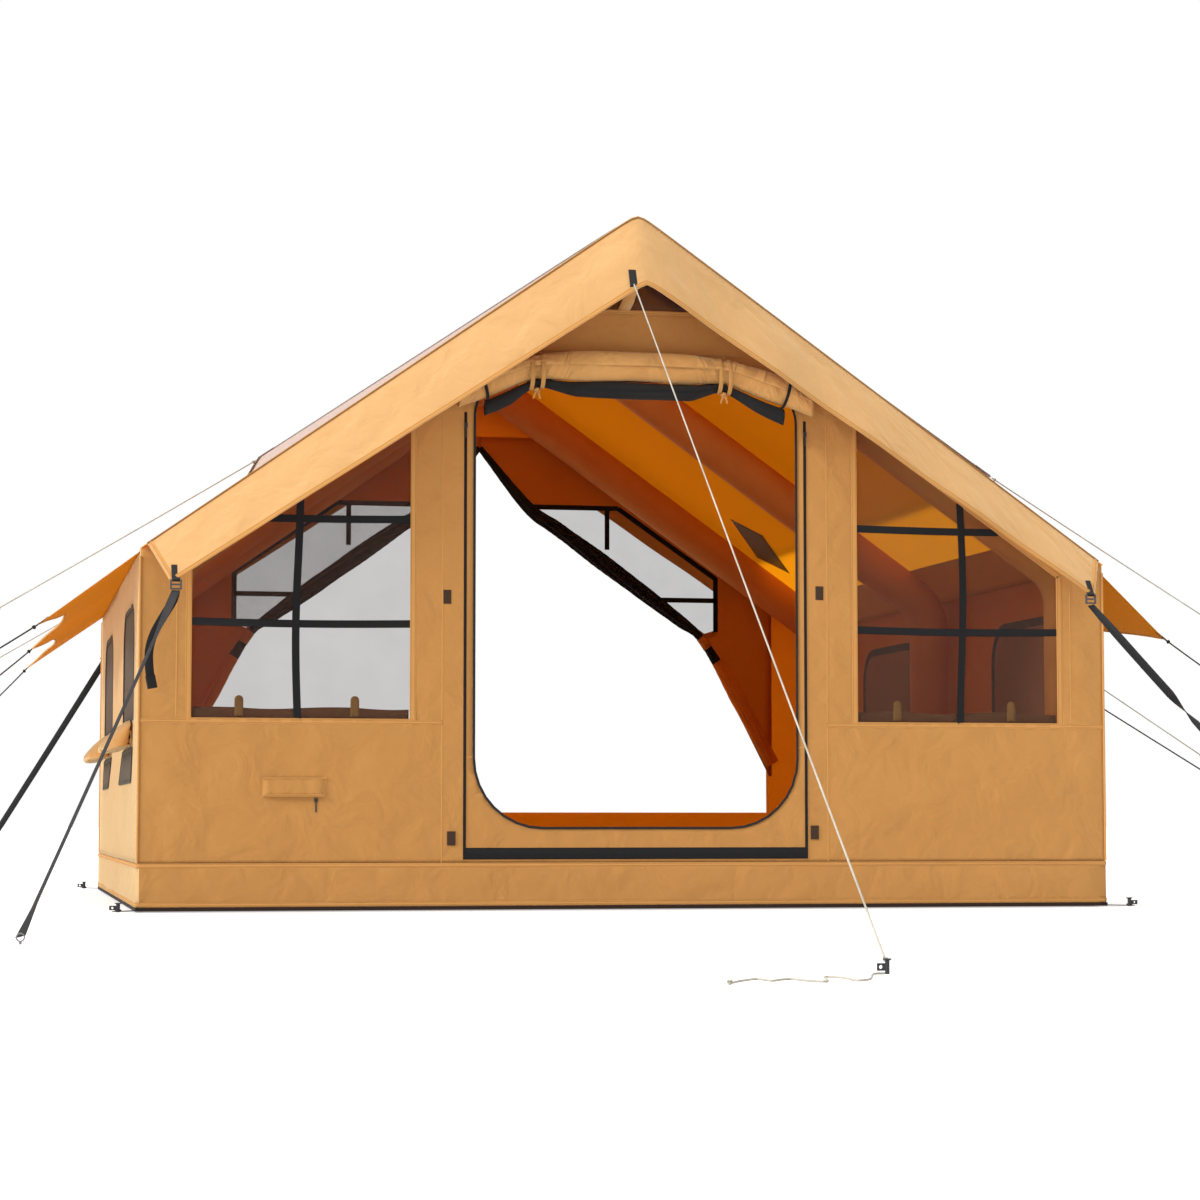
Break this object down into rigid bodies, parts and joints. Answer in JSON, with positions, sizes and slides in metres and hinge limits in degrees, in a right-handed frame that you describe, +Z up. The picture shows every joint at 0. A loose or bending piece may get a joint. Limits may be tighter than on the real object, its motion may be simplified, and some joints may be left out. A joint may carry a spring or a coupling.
{
  "type": "inflatable tent",
  "caption": "Inflatable cabin tent with a pitched roof, side awnings, a rolled-up door, tied-back rear curtains and guy lines.",
  "frame": {"origin": "middle of the ground sheet's underside, on the ground", "axes": "+Z up, +Y from the front door towards the rear wall, +X to the right for someone who faces the door"},
  "size_m": [4.2319, 7.8073, 2.1341],
  "materials": {
    "canvas": "coated cotton-blend canvas, tan",
    "lining": "inner cloth, orange tan",
    "groundsheet": "laminated ground sheet, dark brown",
    "mesh": "fine window mesh, dark brown",
    "black_mesh": "rolled mosquito mesh, black",
    "fly": "coated polyester, grey",
    "webbing": "woven polypropylene webbing, black",
    "plastic": "moulded nylon, black",
    "zip": "coil zip, black",
    "tube": "inflated tube in its cloth sleeve, orange brown",
    "rope": "braided cord, off-white",
    "steel": "steel wire eye"
  },
  "bodies": {
    "tent": {"base_skirt": "canvas", "front_wall": "canvas", "rear_wall": "canvas", "left_wall": "canvas", "right_wall": "canvas", "roof_canopy": "canvas", "front_valance": "canvas", "rear_valance": "canvas", "valance_stay": "canvas", "awning_left": "canvas", "awning_right": "canvas", "door_roll": "canvas", "cable_port_flap": "canvas", "side_cover_left_front": "canvas", "side_cover_left_rear": "canvas", "side_cover_right_front": "canvas", "side_cover_right_rear": "canvas", "window_cover_roll_left": "lining", "window_cover_roll_right": "lining", "rear_curtain_left": "lining", "rear_curtain_right": "lining", "ground_sheet": "groundsheet", "window_mesh_left": "mesh", "window_mesh_right": "mesh", "door_mesh_roll": "black_mesh", "rain_fly": "fly", "peak_loop": "webbing", "corner_strap_front_left": "webbing", "corner_strap_front_right": "webbing", "corner_strap_rear_left": "webbing", "strap_tail_front_left": "webbing", "awning_line_left_front": "webbing", "awning_line_left_middle": "webbing", "awning_line_left_rear": "webbing", "awning_line_right_front": "webbing", "awning_line_right_middle": "webbing", "door_zip_track": "zip", "air_arch_front": "tube", "air_arch_middle": "tube", "air_arch_rear": "tube", "guy_rope": "rope", "guy_rope_tail": "rope", "fly_rope_front_left": "rope", "fly_rope_front_right": "rope", "fly_rope_middle_right": "rope", "fly_rope_rear_left": "rope"},
    "valve_cap_front": {"valve_cap_front": "plastic"},
    "valve_cap_middle": {"valve_cap_middle": "plastic"},
    "valve_cap_rear": {"valve_cap_rear": "plastic"},
    "peg_front_left": {"peg_front_left": "plastic"},
    "peg_front_right": {"peg_front_right": "plastic"},
    "peg_rear_left": {"peg_rear_left": "plastic"},
    "peg_rear_right": {"peg_rear_right": "plastic"},
    "guy_peg": {"guy_peg": "plastic"},
    "strap_peg": {"strap_peg": "steel"},
    "door_zip_slider_left": {"door_zip_slider_left": "zip"},
    "door_zip_slider_right": {"door_zip_slider_right": "zip"},
    "cable_port_slider": {"cable_port_slider": "zip"},
    "strap_buckle_left": {"strap_buckle_left": "plastic"},
    "strap_buckle_right": {"strap_buckle_right": "plastic"}
  },
  "joints": [
    {"name": "valve_cap_front_hinge", "type": "hinge", "parent": "tent", "child": "valve_cap_front", "pos_m": [-1.3296, -1.4, 0.322], "axis": [0, 1, 0], "range_deg": [0, 110]},
    {"name": "valve_cap_middle_hinge", "type": "hinge", "parent": "tent", "child": "valve_cap_middle", "pos_m": [-1.3296, 0, 0.322], "axis": [0, 1, 0], "range_deg": [0, 110]},
    {"name": "valve_cap_rear_hinge", "type": "hinge", "parent": "tent", "child": "valve_cap_rear", "pos_m": [-1.3296, 1.4, 0.322], "axis": [0, 1, 0], "range_deg": [0, 110]},
    {"name": "door_zip_slider_left_slide", "type": "slide", "parent": "tent", "child": "door_zip_slider_left", "axis": [0, 0, 1], "range_m": [-1.2, 0]},
    {"name": "door_zip_slider_right_slide", "type": "slide", "parent": "tent", "child": "door_zip_slider_right", "axis": [0, 0, 1], "range_m": [-1.2, 0]},
    {"name": "cable_port_slider_slide", "type": "slide", "parent": "tent", "child": "cable_port_slider", "axis": [1, 0, 0], "range_m": [-0.14, 0]},
    {"name": "strap_buckle_left_hinge", "type": "hinge", "parent": "tent", "child": "strap_buckle_left", "pos_m": [-1.405, -1.65023, 0.9627], "axis": [-1, 0, 0], "range_deg": [0, 60]},
    {"name": "strap_buckle_right_hinge", "type": "hinge", "parent": "tent", "child": "strap_buckle_right", "pos_m": [1.405, -1.65023, 0.9627], "axis": [-1, 0, 0], "range_deg": [0, 60]},
    {"name": "peg_front_left_pull", "type": "slide", "parent": "tent", "child": "peg_front_left", "axis": [0, 0, 1], "range_m": [0, 0.2]},
    {"name": "peg_front_right_pull", "type": "slide", "parent": "tent", "child": "peg_front_right", "axis": [0, 0, 1], "range_m": [0, 0.2]},
    {"name": "peg_rear_left_pull", "type": "slide", "parent": "tent", "child": "peg_rear_left", "axis": [0, 0, 1], "range_m": [0, 0.2]},
    {"name": "peg_rear_right_pull", "type": "slide", "parent": "tent", "child": "peg_rear_right", "axis": [0, 0, 1], "range_m": [0, 0.2]},
    {"name": "guy_peg_pull", "type": "slide", "parent": "tent", "child": "guy_peg", "axis": [0, 0, 1], "range_m": [0, 0.2]},
    {"name": "strap_peg_pull", "type": "slide", "parent": "tent", "child": "strap_peg", "axis": [0, 0, 1], "range_m": [0, 0.2]}
  ]
}
